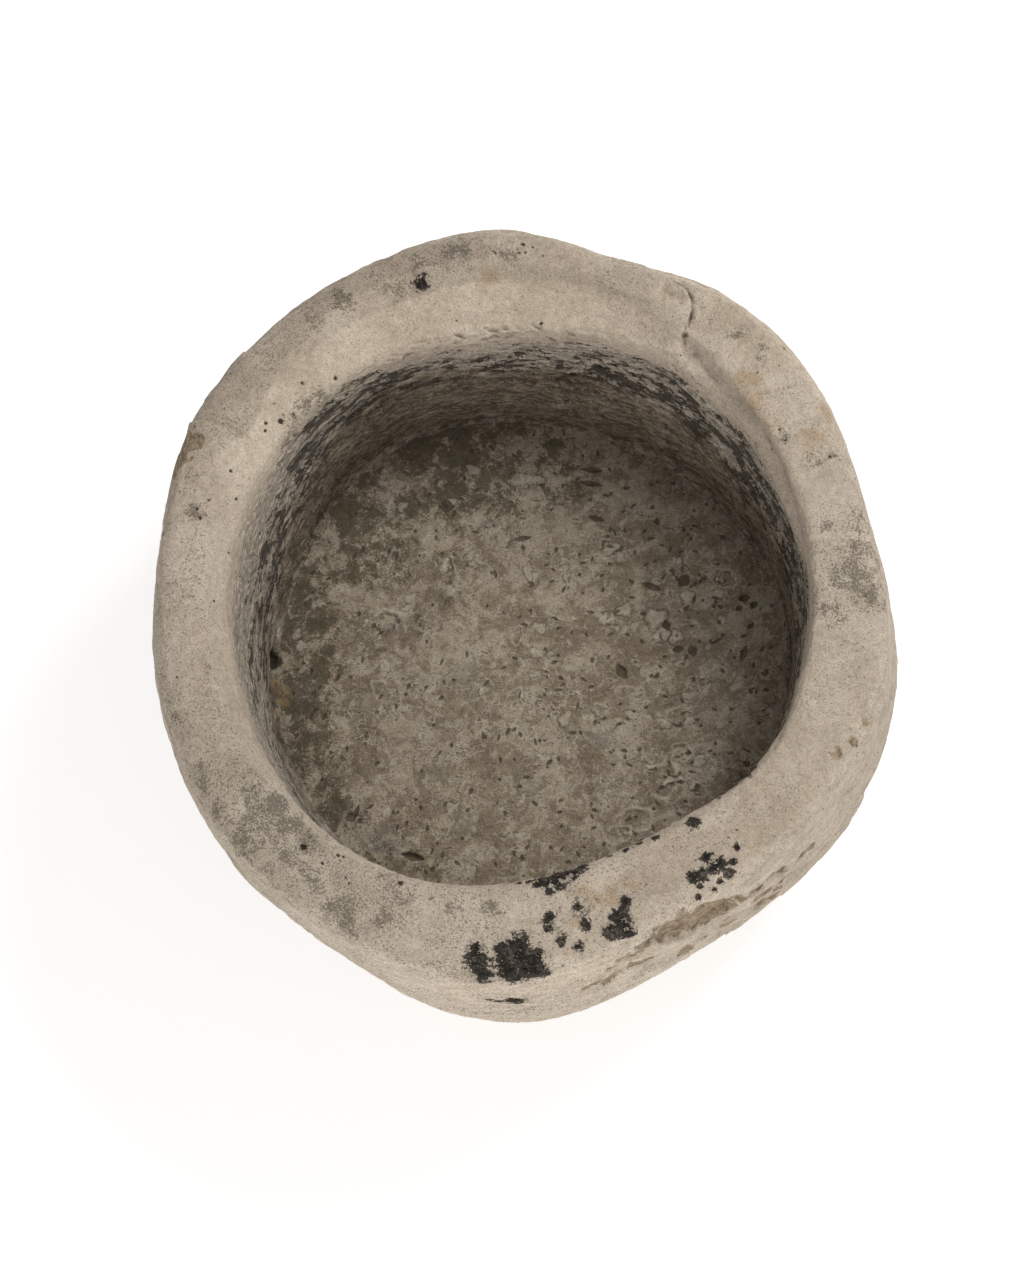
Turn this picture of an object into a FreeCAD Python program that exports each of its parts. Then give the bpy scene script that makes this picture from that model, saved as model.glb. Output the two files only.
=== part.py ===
import FreeCAD, Part

import math
import os

import Sketcher

# Stone mortar bowl (molcajete), carved from one block of shelly limestone.
#
# Frame: +Z up, origin at the centre of the footprint on the surface it stands on.
# -Y is the side where the wall is fullest, +Y the side with the widest rim.
#
# The block is hand hewn, so it is described the way a mason would survey it: control
# radii along 24 spokes (every 15 degrees from +X, counter-clockwise) for four outlines:
#   edge   outer edge of the rim
#   belly  widest outline of the body
#   lip    inner edge of the rim
#   well   edge of the flat grinding floor
# Every horizontal section of the block and of the hollow is one of these outlines, or a
# mix of two, at its own height.  All the numbers sit in the spreadsheet "Dims".

doc = FreeCAD.newDocument("molcajete")
sheet = doc.addObject("Spreadsheet::Sheet", "Dims")

scalars = [
    # alias, value in mm (or a plain ratio), note
    ("height", 155.0, "base to top of rim"),
    ("floor_height", 55.0, "base to grinding floor"),
    ("foot_height", 0.0, "plane it stands on"),
    ("heel_height", 14.0, "where the foot turns into the side"),
    ("side_height", 48.0, "lower side"),
    ("belly_height", 88.0, "fullest section"),
    ("upper_height", 126.0, "side under the rim"),
    ("well_height", 72.0, "hollow, just above the floor"),
    ("mid_height", 100.0, "hollow, half way"),
    ("throat_height", 134.0, "hollow, under the lip"),
    ("foot_ratio", 0.79, "foot outline over belly outline"),
    ("heel_ratio", 0.885, "heel outline over belly outline"),
    ("side_ratio", 0.97, "lower side outline over belly outline"),
    ("lip_height", 140.0, "bottom of the slope that falls from the rim into the hollow"),
    ("mouth_flare", 2.0, "hollow's outline at the rim plane, outside the lip outline"),
    ("lip_inset", -5.0, "bottom of the slope against the lip outline"),
    ("rim_outer_radius", 13.0, "worn rounding of the rim's outer edge"),
    ("crest_radius", 5.0, "worn rounding where the rim top turns into the slope"),
    ("lip_radius", 7.0, "worn rounding of the lip"),
    ("floor_fillet", 4.0, "root of the wall"),
    ("foot_fillet", 5.0, "worn edge of the foot"),
]
row = 1
for alias, value, note in scalars:
    sheet.set("A%d" % row, alias)
    sheet.set("B%d" % row, "%g" % value)
    sheet.set("C%d" % row, note)
    sheet.setAlias("B%d" % row, alias)
    row += 1

SPOKES = 24
STEP = 360.0 / SPOKES
outlines = {
    "edge": [
        192.5, 187.0, 195.8, 201.6, 204.1, 195.2, 213.3, 209.2,
        208.1, 203.8, 205.7, 195.1, 191.6, 195.1, 201.0, 207.5,
        210.6, 216.4, 215.1, 206.3, 199.1, 202.7, 202.6, 200.9,
    ],
    "belly": [
        200.3, 192.2, 201.9, 207.6, 210.2, 201.3, 219.4, 215.2,
        214.2, 209.8, 212.2, 199.7, 202.4, 201.2, 203.4, 204.3,
        203.1, 214.6, 220.0, 206.2, 200.4, 204.0, 207.1, 206.6,
    ],
    "crest": [
        158.3, 156.8, 156.7, 162.5, 174.2, 181.5, 184.8, 188.4,
        188.7, 187.2, 178.0, 168.9, 165.3, 165.0, 168.5, 170.6,
        171.6, 171.8, 165.6, 159.1, 157.2, 163.3, 165.1, 158.7,
    ],
    "lip": [
        154.3, 151.8, 150.7, 152.5, 154.2, 151.5, 148.8, 150.4,
        152.7, 155.2, 154.0, 152.9, 153.3, 154.0, 158.5, 162.6,
        165.6, 166.8, 160.6, 154.1, 152.2, 158.3, 160.1, 154.7,
    ],
    "well": [
        146.7, 141.4, 139.3, 135.0, 134.5, 134.1, 138.2, 142.2,
        145.1, 144.5, 139.6, 138.8, 140.9, 145.5, 149.1, 152.8,
        156.0, 157.2, 151.0, 144.4, 142.6, 148.9, 150.3, 145.4,
    ],
}
columns = {"edge": "B", "belly": "C", "crest": "D", "lip": "E", "well": "F"}
row += 1
sheet.set("A%d" % row, "spoke angle")
for name in outlines:
    sheet.set("%s%d" % (columns[name], row), name)
for i in range(SPOKES):
    row += 1
    sheet.set("A%d" % row, "%g" % (i * STEP))
    for name, radii in outlines.items():
        cell = "%s%d" % (columns[name], row)
        sheet.set(cell, "%g" % radii[i])
        sheet.setAlias(cell, "%s_%02d" % (name, i))
doc.recompute()


def plane_of(body, role):
    for feature in body.Origin.OriginFeatures:
        if feature.Role == role:
            return feature
    raise RuntimeError("no " + role)


def section(body, name, height, radius, first=0):
    """A closed smooth section of the stone: one periodic cubic spline whose 24 control
    points lie on the spokes.  height is an alias, radius(i) an expression in mm, first
    the spoke the spline starts on."""
    sketch = body.newObject("Sketcher::SketchObject", name)
    sketch.AttachmentSupport = [(plane_of(body, "XY_Plane"), "")]
    sketch.MapMode = "FlatFace"
    sketch.setExpression("AttachmentOffset.Base.z", "Dims.%s * 1 mm" % height)
    poles = []
    order = [(first + k) % SPOKES for k in range(SPOKES)]
    for i in order:
        a = math.radians(i * STEP)
        r = value_of(radius(i))
        poles.append(FreeCAD.Vector(r * math.cos(a), r * math.sin(a), 0))
    curve = Part.BSplineCurve()
    curve.buildFromPolesMultsKnots(
        poles, [1] * (SPOKES + 1), list(range(SPOKES + 1)), True, 3, [1.0] * SPOKES
    )
    spline = sketch.addGeometry(curve, False)
    sketch.exposeInternalGeometry(spline)
    centres = []
    for point in poles:
        for n, geo in enumerate(sketch.Geometry):
            if geo.TypeId == "Part::GeomCircle" and geo.Center.distanceToPoint(point) < 1e-4:
                centres.append(n)
    if len(centres) != SPOKES:
        raise RuntimeError("%s has %d control points" % (name, len(centres)))
    for i, geo, p in zip(order, centres, poles):
        a = i * STEP
        for kind, value, word in (("DistanceX", p.x, "cos"), ("DistanceY", p.y, "sin")):
            n = sketch.addConstraint(Sketcher.Constraint(kind, -1, 1, geo, 3, value))
            sketch.setExpression(
                "Constraints[%d]" % n,
                "(%s) * %s(%g deg) * 1 mm" % (radius(i), word, a),
            )
    return sketch


def value_of(expression):
    """The expression's value in mm, from the sheet."""
    names = {
        p: sheet.get(p)
        for p in [s[0] for s in scalars]
        + ["%s_%02d" % (o, i) for o in outlines for i in range(SPOKES)]
    }
    total = 0.0
    for term in expression.replace(" ", "").split("+"):
        product = 1.0
        for factor in term.split("*"):
            key = factor.replace("Dims.", "")
            product *= float(names[key]) if key in names else float(key)
        total += product
    return total


def outline(name, ratio=None, more=None):
    def radius(i):
        text = "Dims.%s_%02d" % (name, i)
        if ratio:
            text += " * Dims.%s" % ratio
        if more:
            text += " + Dims.%s" % more
        return text

    return radius


def between(a, b):
    return lambda i: "0.5 * Dims.%s_%02d + 0.5 * Dims.%s_%02d" % (a, i, b, i)


body = doc.addObject("PartDesign::Body", "mortar_bowl")
body.Label = "mortar_bowl"

outer = [
    section(body, "sec_foot", "foot_height", outline("belly", "foot_ratio"), first=6),
    section(body, "sec_heel", "heel_height", outline("belly", "heel_ratio"), first=6),
    section(body, "sec_side", "side_height", outline("belly", "side_ratio"), first=6),
    section(body, "sec_belly", "belly_height", outline("belly"), first=6),
    section(body, "sec_upper", "upper_height", between("belly", "edge"), first=6),
    section(body, "sec_rim", "height", outline("edge"), first=6),
]
block = body.newObject("PartDesign::AdditiveLoft", "block")
block.Profile = outer[0]
block.Sections = outer[1:]
block.Ruled = False
block.Closed = False
doc.recompute()
print("block", block.State, round(block.Shape.Volume), block.Shape.isValid())

inner = [
    section(body, "sec_mouth", "height", outline("lip", more="mouth_flare")),
    section(body, "sec_throat", "throat_height", outline("lip")),
    section(body, "sec_mid", "mid_height", between("lip", "well")),
    section(body, "sec_floor", "floor_height", outline("well")),
]
hollow = body.newObject("PartDesign::SubtractiveLoft", "hollow")
hollow.Profile = inner[0]
hollow.Sections = inner[1:]
hollow.Ruled = False
hollow.Closed = False
doc.recompute()
print("hollow", hollow.State, round(hollow.Shape.Volume), hollow.Shape.isValid())


slope = body.newObject("PartDesign::SubtractiveLoft", "slope")
slope_sections = [
    section(body, "sec_crest", "height", outline("crest"), first=9),
    section(body, "sec_lip", "lip_height", outline("lip", more="lip_inset"), first=9),
]
slope.Profile = slope_sections[0]
slope.Sections = slope_sections[1:]
slope.Ruled = True
slope.Closed = False
doc.recompute()
print("slope", slope.State, round(slope.Shape.Volume), slope.Shape.isValid())


def rim_edges(shape, low, high, pick=None):
    """Names of the edges that lie wholly between two heights, shortest first; pick
    keeps one of them."""
    found = []
    for n, e in enumerate(shape.Edges):
        box = e.BoundBox
        if box.ZMin > low - 1e-3 and box.ZMax < high + 1e-3:
            found.append((e.Length, "Edge%d" % (n + 1)))
    found.sort()
    names = [name for _, name in found]
    return names if pick is None else [names[pick]]


def round_off(base, name, edges, radius):
    feature = body.newObject("PartDesign::Fillet", name)
    feature.Base = (base, edges)
    feature.setExpression("Radius", "Dims.%s * 1 mm" % radius)
    base.Visibility = False
    doc.recompute()
    print(name, feature.State, round(feature.Shape.Volume), feature.Shape.isValid())
    return feature


top = value_of("Dims.height")
lip_level = value_of("Dims.lip_height")
floor_level = value_of("Dims.floor_height")
foot_level = value_of("Dims.foot_height")
crest_round = round_off(slope, "crest_round", rim_edges(slope.Shape, top, top, 0), "crest_radius")
lip_round = round_off(
    crest_round, "lip_round", rim_edges(crest_round.Shape, lip_level, top - 2), "lip_radius"
)
rim_outside = round_off(
    lip_round, "rim_outside", rim_edges(lip_round.Shape, top, top, -1), "rim_outer_radius"
)
floor_root = round_off(
    rim_outside,
    "floor_root",
    rim_edges(rim_outside.Shape, floor_level, floor_level, 0),
    "floor_fillet",
)
foot_edge = round_off(
    floor_root, "foot_edge", rim_edges(floor_root.Shape, foot_level, foot_level, 0), "foot_fillet"
)
body.Tip = foot_edge
body.Placement = FreeCAD.Placement()
doc.recompute()

for item in doc.Objects:
    if "Invalid" in item.State or "Error" in item.State:
        raise RuntimeError("%s failed: %s" % (item.Name, item.State))
os.makedirs("parts", exist_ok=True)
for part in [body]:
    shape = part.Shape
    if shape.isNull() or not shape.isValid() or len(shape.Solids) != 1:
        raise RuntimeError("%s is not one valid solid" % part.Label)
    box = shape.BoundBox
    print(
        part.Label,
        "volume %.0f mm3" % shape.Volume,
        "x %.2f..%.2f y %.2f..%.2f z %.2f..%.2f"
        % (box.XMin, box.XMax, box.YMin, box.YMax, box.ZMin, box.ZMax),
    )
    for face in shape.Faces:
        if face.Area <= 0 or not face.tessellate(0.5)[1]:
            raise RuntimeError("%s has a face that cannot be meshed" % part.Label)
    shape.exportStep("parts/%s.step" % part.Label)
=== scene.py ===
import math

import bpy
import numpy as np
from mathutils import Matrix, Vector
from mathutils.bvhtree import BVHTree


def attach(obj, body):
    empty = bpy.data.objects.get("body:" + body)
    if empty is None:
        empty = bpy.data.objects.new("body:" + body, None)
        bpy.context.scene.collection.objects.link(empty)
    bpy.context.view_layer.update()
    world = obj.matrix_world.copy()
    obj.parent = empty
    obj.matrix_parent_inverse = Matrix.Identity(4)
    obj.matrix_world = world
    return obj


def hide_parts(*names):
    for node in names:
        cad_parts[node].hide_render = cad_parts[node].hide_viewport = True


# Stone mortar bowl carved from one block of shelly limestone. The CAD solid gives every
# size; this script lays a dense skin over it and gives that skin the hewn, pitted and
# stained surface of the real stone. Lengths are in millimetres until the mesh is made.

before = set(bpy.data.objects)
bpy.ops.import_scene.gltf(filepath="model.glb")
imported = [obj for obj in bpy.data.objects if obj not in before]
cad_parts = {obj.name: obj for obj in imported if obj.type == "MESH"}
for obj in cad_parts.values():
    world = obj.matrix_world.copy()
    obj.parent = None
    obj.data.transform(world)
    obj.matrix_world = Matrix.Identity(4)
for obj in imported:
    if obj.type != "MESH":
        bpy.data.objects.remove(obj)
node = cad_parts["mortar_bowl"]
rng = np.random.default_rng(20)

N = 1200                      # spokes of the skin
NF = 185                      # rings across the grinding floor
RINGS = (150, 96, 128)        # rings up the inner wall, over the rim, down the outside
NS = sum(RINGS)
NB = 26                       # rings across the underside


# ---------------------------------------------------------------- CAD profile

def cad_profile(spokes=288, along=700):
    """Radius and height along the stone's section, from the root of the inner wall over
    the rim and down the outside to the foot, for each spoke, read from the CAD solid."""
    mesh = node.data
    mesh.calc_loop_triangles()
    co = np.empty(len(mesh.vertices) * 3)
    mesh.vertices.foreach_get("co", co)
    co = co.reshape(-1, 3) * 1000.0
    tri = np.empty(len(mesh.loop_triangles) * 3, dtype=np.int32)
    mesh.loop_triangles.foreach_get("vertices", tri)
    tree = BVHTree.FromPolygons(co.tolist(), tri.reshape(-1, 3).tolist())
    r_out = np.empty((spokes, along))
    z_out = np.empty((spokes, along))
    arc = np.radians(np.concatenate([np.arange(180, 20, -1.0), np.arange(20, -100, -1.0)]))
    for i in range(spokes):
        a = 2 * math.pi * i / spokes
        ca, sa = math.cos(a), math.sin(a)
        radial = Vector((ca, sa, 0))
        inner = tree.ray_cast(Vector((0, 0, 100)), radial)[0]
        outer = tree.ray_cast(Vector((ca * 400, sa * 400, 100)), -radial)[0]
        mid = (math.hypot(inner.x, inner.y) + math.hypot(outer.x, outer.y)) / 2
        rs, zs = [], []
        for z in (55.05, 55.3, 55.8, 56.6, 57.6, 59, 61, 64, 68, 72, 76, 80, 84, 88, 92, 96):
            p = tree.ray_cast(Vector((0, 0, z)), radial)[0]
            rs.append(math.hypot(p.x, p.y))
            zs.append(p.z)
        start = Vector((ca * mid, sa * mid, 100))
        for t in arc:
            d = radial * math.cos(t) + Vector((0, 0, math.sin(t)))
            p = tree.ray_cast(start, d)[0]
            if p is None:
                continue
            if p.z < 0.05:
                break
            rs.append(p.x * ca + p.y * sa)
            zs.append(p.z)
        rs, zs = np.array(rs), np.array(zs)
        zs[0], zs[-1] = 55.0, 0.0
        s = np.concatenate([[0], np.cumsum(np.hypot(np.diff(rs), np.diff(zs)))])
        u = np.linspace(0, s[-1], along)
        r_out[i] = np.interp(u, s, rs)
        z_out[i] = np.interp(u, s, zs)
    # the solid is meshed in facets: ease them out
    k = np.array([1, 2, 3, 2, 1]) / 9.0
    for grid in (r_out, z_out):
        pad = np.pad(grid, ((0, 0), (2, 2)), mode="edge")
        soft = sum(k[m] * pad[:, m:m + along] for m in range(5))
        soft[:, :2], soft[:, -2:] = grid[:, :2], grid[:, -2:]
        soft = sum(k[m] * np.roll(soft, m - 2, axis=0) for m in range(5))
        grid[:] = soft
    return r_out, z_out


r_cad, z_cad = cad_profile()
theta = 2 * np.pi * np.arange(N) / N
at = theta / (2 * np.pi) * len(r_cad)
i0 = np.floor(at).astype(int) % len(r_cad)
i1 = (i0 + 1) % len(r_cad)
w = (at - np.floor(at))[:, None]
r_full = r_cad[i0] * (1 - w) + r_cad[i1] * w
z_full = z_cad[i0] * (1 - w) + z_cad[i1] * w
last = r_full.shape[1] - 1
wall_end = (z_cad < 141).argmin(axis=1).mean()               # where the wall meets the slope of the rim
rim_end = last - (z_cad[:, ::-1] < 138).argmin(axis=1).mean()
u = np.concatenate([np.linspace(0, wall_end, RINGS[0], endpoint=False),
                    np.linspace(wall_end, rim_end, RINGS[1], endpoint=False),
                    np.linspace(rim_end, last, RINGS[2])])
j0 = np.minimum(np.floor(u).astype(int), last - 1)
f = u - j0
R = r_full[:, j0] * (1 - f) + r_full[:, j0 + 1] * f
Z = z_full[:, j0] * (1 - f) + z_full[:, j0 + 1] * f

t_floor = np.linspace(0, 1, NF + 1)[1:-1]
floor_r = R[:, :1] * t_floor[None, :]
floor_z = np.full_like(floor_r, 55.0)
t_base = np.linspace(1, 0, NB + 1)[1:-1]
base_r = R[:, -1:] * t_base[None, :]
base_z = np.zeros_like(base_r)
R = np.concatenate([floor_r, R, base_r], axis=1)
Z = np.concatenate([floor_z, Z, base_z], axis=1)
K = R.shape[1]
J_ROOT, J_FOOT = NF - 1, NF - 1 + NS - 1
ct, st = np.cos(theta)[:, None], np.sin(theta)[:, None]
P = np.stack([R * ct, R * st, Z], axis=-1)


def grid_normals(p):
    along = np.gradient(p, axis=1)
    around = (np.roll(p, -1, axis=0) - np.roll(p, 1, axis=0)) / 2
    n = np.cross(along, around)
    return n / np.maximum(np.linalg.norm(n, axis=-1, keepdims=True), 1e-9)


Nrm = grid_normals(P)
J = np.arange(K)[None, :] + np.zeros((N, 1))
TH = np.degrees(theta)[:, None] + np.zeros((1, K))
X, Y = P[..., 0], P[..., 1]


# ---------------------------------------------------------------- noise

_perm = np.random.default_rng(5).permutation(256).astype(np.int64)
_perm = np.concatenate([_perm, _perm, _perm])
_grad = np.random.default_rng(6).normal(size=(256, 3)).astype(np.float32)
_grad /= np.linalg.norm(_grad, axis=1, keepdims=True)


def gradient_noise(p, seed):
    """Smooth noise of unit wavelength, about -1 to 1, at points p."""
    p = p + np.array([seed * 13.7, seed * 7.3, seed * 3.1], dtype=np.float32)
    cell = np.floor(p)
    q = (p - cell).astype(np.float32)
    c = cell.astype(np.int64) & 255
    s = q * q * q * (q * (q * 6 - 15) + 10)
    total = 0
    for dx in (0, 1):
        wx = s[..., 0] if dx else 1 - s[..., 0]
        for dy in (0, 1):
            wy = s[..., 1] if dy else 1 - s[..., 1]
            for dz in (0, 1):
                wz = s[..., 2] if dz else 1 - s[..., 2]
                h = _perm[_perm[_perm[(c[..., 0] + dx) & 255] + ((c[..., 1] + dy) & 255)] + ((c[..., 2] + dz) & 255)]
                g = _grad[h]
                total = total + wx * wy * wz * (
                    g[..., 0] * (q[..., 0] - dx) + g[..., 1] * (q[..., 1] - dy) + g[..., 2] * (q[..., 2] - dz)
                )
    return total * 1.6


def noise(wavelength, octaves=1, seed=0, gain=0.5, at=None, stretch=(1, 1, 1)):
    p = (P if at is None else at).astype(np.float32) / np.array(stretch, dtype=np.float32)
    out, amp, norm, wl = 0, 1.0, 0.0, float(wavelength)
    for k in range(octaves):
        out = out + amp * gradient_noise(p / wl, seed + 31 * k)
        norm += amp
        amp *= gain
        wl /= 2.03
    return out / norm


def smooth(x, a, b):
    t = np.clip((x - a) / (b - a), 0, 1)
    return t * t * (3 - 2 * t)


# ---------------------------------------------------------------- regions

is_floor = (J <= J_ROOT).astype(float)
is_base = (J >= J_FOOT).astype(float)
facing_in = -(Nrm[..., 0] * ct + Nrm[..., 1] * st)     # 1 on a wall that faces the axis
half = J < (J_ROOT + RINGS[0] + 0.4 * RINGS[1])
wall = smooth(facing_in, 0.25, 0.75) * (J > J_ROOT) * half
wall = np.where((J > J_ROOT) & half & (Z < 80), 1.0, wall)
outer = smooth(-facing_in, 0.25, 0.75) * (~half) * (J < J_FOOT)
rim = np.clip(1 - wall - outer, 0, 1) * (J > J_ROOT) * (J < J_FOOT) * (Z > 120)

D = np.zeros((N, K))          # how far the surface stands out from the CAD solid
soot = np.zeros((N, K))
brown_stain_and_shade = np.zeros((N, K))
green = np.zeros((N, K))
ochre = np.zeros((N, K))
shell = np.zeros((N, K))
pit = np.zeros((N, K))
speck = np.zeros((N, K))
crack = np.zeros((N, K))
# this field holds the stone's own tone together with painted shade and painted light
tone_and_painted_light = np.zeros((N, K))      # darker or paler than the plain stone
wall_soot = np.zeros((N, K))  # how much of the wall the soot covers
wall_brown = np.zeros((N, K))

taper = 1 - smooth(J, J_FOOT - 12, J_FOOT - 2)          # quiet towards the foot
on_rim = (J > J_ROOT + RINGS[0] - 6) * (1 - outer)
round_pos = np.stack([X, Y, Z * 3.0], axis=-1)          # stretches a pattern round the bowl

# the whole surface: broad waves of the hand-hewn block, then its grain
D += taper * (1 - is_floor) * (1.3 * noise(70, 2, seed=1) + 0.7 * noise(24, 2, seed=2) + 0.3 * noise(10, 2, seed=7))
D += is_floor * (0.8 * noise(60, 2, seed=3) + 0.35 * noise(18, 2, seed=4)) * smooth(J, 0, 10)
D += taper * 0.17 * noise(4.5, 3, seed=5, gain=0.65)
D += taper * outer * (0.75 * noise(30, 3, seed=8, at=round_pos, gain=0.55) + 0.3 * noise(9, 2, seed=9, at=round_pos))
D += wall * smooth(Z, 56, 64) * (0.9 * noise(24, 3, seed=10, at=round_pos, gain=0.6) + 0.75 * noise(8, 2, seed=11, at=round_pos, gain=0.7))


# ---------------------------------------------------------------- tools for single features

STEP_T = 2 * np.pi / N
seg = np.hypot(np.diff(R, axis=1), np.diff(Z, axis=1))
S = np.concatenate([np.zeros((N, 1)), np.cumsum(seg, axis=1)], axis=1)
S -= S[:, J_ROOT:J_ROOT + 1]                 # millimetres along the section from the root of the wall
S_WALL, S_RIM, S_FOOT = S[:, J_ROOT + RINGS[0]], S[:, J_ROOT + RINGS[0] + RINGS[1]], S[:, J_FOOT]


def stamp(fields, i, s, half_long, half_wide, tilt, shape):
    """Adds shape(x, y) to fields in a small window at spoke i, s millimetres along the
    section; x and y are -1..1 across an ellipse whose long side runs round the bowl,
    turned by tilt towards the rim."""
    spoke = int(round(i)) % N
    reach = half_long * 1.6
    j_a, j_b = np.searchsorted(S[spoke], (s - reach, s + reach))
    j_a, j_b = max(j_a, J_ROOT + 1), min(j_b, J_FOOT - 1)
    if j_b <= j_a:
        return
    rr = R[spoke, (j_a + j_b) // 2]
    wi = int(reach / (rr * STEP_T)) + 1
    ii = np.arange(int(round(i)) - wi, int(round(i)) + wi + 1)
    jj = np.arange(j_a, j_b)
    ax = ((ii - i) * rr * STEP_T)[:, None]
    ay = (S[spoke, jj] - s)[None, :]
    c, d = math.cos(tilt), math.sin(tilt)
    x, y = (ax * c + ay * d) / half_long, (-ax * d + ay * c) / half_wide
    window = np.ix_(ii % N, jj)
    for field, value in zip(fields, shape(x, y)):
        field[window] += value


def lens(x, y):
    """A pointed oval: 1 in the middle, 0 outside."""
    return np.clip(1 - x * x - np.abs(y) / np.maximum(1 - x * x, 0.05) ** 0.6, 0, 1) * (np.abs(x) < 1)


def spot(x, y):
    return np.clip(1 - x * x - y * y, 0, 1)


def near(points, pad):
    q = np.array(points, dtype=float)
    return np.nonzero(((P >= q.min(0) - pad) & (P <= q.max(0) + pad)).all(-1))


def to_line(points, pad=14.0):
    """For the points of the skin near a line: their index, distance, side and place along it."""
    q = np.array(points, dtype=float)
    idx = near(points, pad)
    p = P[idx]
    best = np.full(len(p), 1e9)
    side = np.zeros(len(p))
    place = np.zeros(len(p))
    for k in range(len(q) - 1):
        a, ab = q[k], q[k + 1] - q[k]
        t = np.clip((p - a) @ ab / (ab @ ab), 0, 1)
        dist = np.linalg.norm(p - a - t[:, None] * ab, axis=1)
        s = np.sign(ab[0] * (p[:, 1] - a[1]) - ab[1] * (p[:, 0] - a[0]))
        m = dist < best
        best[m], side[m], place[m] = dist[m], s[m], (k + t[m]) / (len(q) - 1)
    return idx, best, side, place


def wobble(idx, wavelength, amount, seed):
    return amount * noise(wavelength, 2, seed=seed, at=P[idx])


def fissure(points, width=0.9, depth=1.1, ledge=0.0, ledge_width=9.0, dark=1.0, seed=50):
    """A crack along a line; with a ledge, the left of the line stands higher."""
    idx, d, side, place = to_line(points)
    d = np.abs(d + wobble(idx, 7, 1.1, seed))
    ends = smooth(place, 0, 0.12) * (1 - smooth(place, 0.82, 1.0))
    if ledge:
        D[idx] += side * ledge * 0.5 * np.exp(-(d / ledge_width) ** 2) * ends
    D[idx] -= depth * np.exp(-(d / width) ** 2) * ends
    crack[idx] = np.maximum(crack[idx], dark * np.exp(-(d / (width * 0.9)) ** 2) * ends)


def hollow(points, width, depth, shade=0.0, seed=60):
    """A soft trough along a line; shade paints shade into it through the brown field."""
    idx, d, side, place = to_line(points, pad=width * 2.5)
    d = np.abs(d + wobble(idx, 16, width * 0.25, seed))
    ends = smooth(place, 0, 0.15) * (1 - smooth(place, 0.7, 1.0))
    k = np.exp(-(d / width) ** 2) * ends
    D[idx] -= depth * k
    brown_stain_and_shade[idx] = np.maximum(brown_stain_and_shade[idx], shade * k)


def blot(field, spots, edge=0.35, seed=70):
    """Stains with lobed edges: 0.5 on the edge, more inside.  spots are x, y, z, radius."""
    for x, y, z, radius in spots:
        idx = near([(x, y, z)], radius * 1.8)
        d = np.linalg.norm(P[idx] - np.array([x, y, z]), axis=1) / radius
        d = d + edge * noise(max(radius * 0.7, 2.5), 3, seed=seed, at=P[idx])
        field[idx] = np.maximum(field[idx], np.clip(1.5 - d, 0, 1.5))


# ---------------------------------------------------------------- inner wall: pick marks

count_marks = 9000
m_ang = rng.uniform(0, 360, count_marks)
m_up = rng.beta(1.5, 1.15, count_marks)
m_a = np.radians(m_ang)
crowd = noise(26, 2, seed=12, at=np.stack([150 * np.cos(m_a), 150 * np.sin(m_a), m_up * 85 * 2.4], axis=-1))
# the far and right side of the wall was worked deepest
worked = 0.5 + 0.6 * smooth(np.cos(m_a - math.radians(62)), -0.3, 0.8)
keep = rng.random(count_marks) < np.clip(0.42 + 1.1 * crowd, 0.04, 1) * (0.55 + 0.45 * worked)
for ang, up, strength in zip(m_ang[keep], m_up[keep], worked[keep]):
    i = ang / 360 * N
    s = 4 + up * (S_WALL[int(i) % N] - 3)
    kind = rng.random()
    if kind < 0.66:
        long, wide, depth = rng.uniform(1.4, 3.0), rng.uniform(0.65, 1.0), rng.uniform(0.25, 0.6)
    elif kind < 0.95 or up < 0.45:
        long, wide, depth = rng.uniform(3.0, 6.0), rng.uniform(0.9, 1.6), rng.uniform(0.35, 0.9)
    else:
        long, wide, depth = rng.uniform(3.5, 6.5), rng.uniform(1.5, 2.5), rng.uniform(0.8, 1.6)
    depth *= 1.45 * strength * (0.7 + 0.4 * up)
    if up > 0.93:
        depth *= 0.5

    def mark(x, y, depth=depth):
        m = lens(x, y)
        lip = np.exp(-((np.sqrt(x * x + y * y) - 1.05) / 0.22) ** 2) * 0.2
        return -depth * m ** 0.7 + depth * lip, m * min(0.25 + 0.8 * depth, 1.0)

    stamp((D, pit), i, s, long, wide, math.radians(rng.normal(12, 10)), mark)

# ---------------------------------------------------------------- rim: seams, ledges, valleys

fissure([(-178, 98, 144), (-174, 98.5, 150), (-171, 98, 152.5), (-167, 97, 154), (-160.5, 94.8, 155), (-154, 92.6, 155), (-149, 90, 154), (-145, 88, 151), (-139, 87, 148.5)],
        width=0.8, depth=0.8, ledge=-2.6, ledge_width=15.0, dark=0.5, seed=51)
fissure([(-149, 141, 145), (-146.0, 138.0, 150), (-140.2, 133.6, 154.5), (-133.1, 131.6, 155), (-126.8, 124.7, 152.6)],
        width=0.8, depth=0.3, ledge=-1.7, ledge_width=12.0, dark=0.12, seed=52)
fissure([(63, 183, 150), (66, 181, 152), (73.1, 177.2, 153.4), (80, 173.7, 153.9), (86.9, 169.8, 154.4), (92.2, 165.2, 154.9), (94.3, 159.2, 155),
         (94.2, 152.2, 155), (92.5, 146.4, 155), (89.7, 140.4, 153), (87.9, 135, 149.5), (86.5, 129, 146)],
        width=1.0, depth=1.6, ledge=-3.0, ledge_width=11.0, dark=0.8, seed=53)
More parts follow.
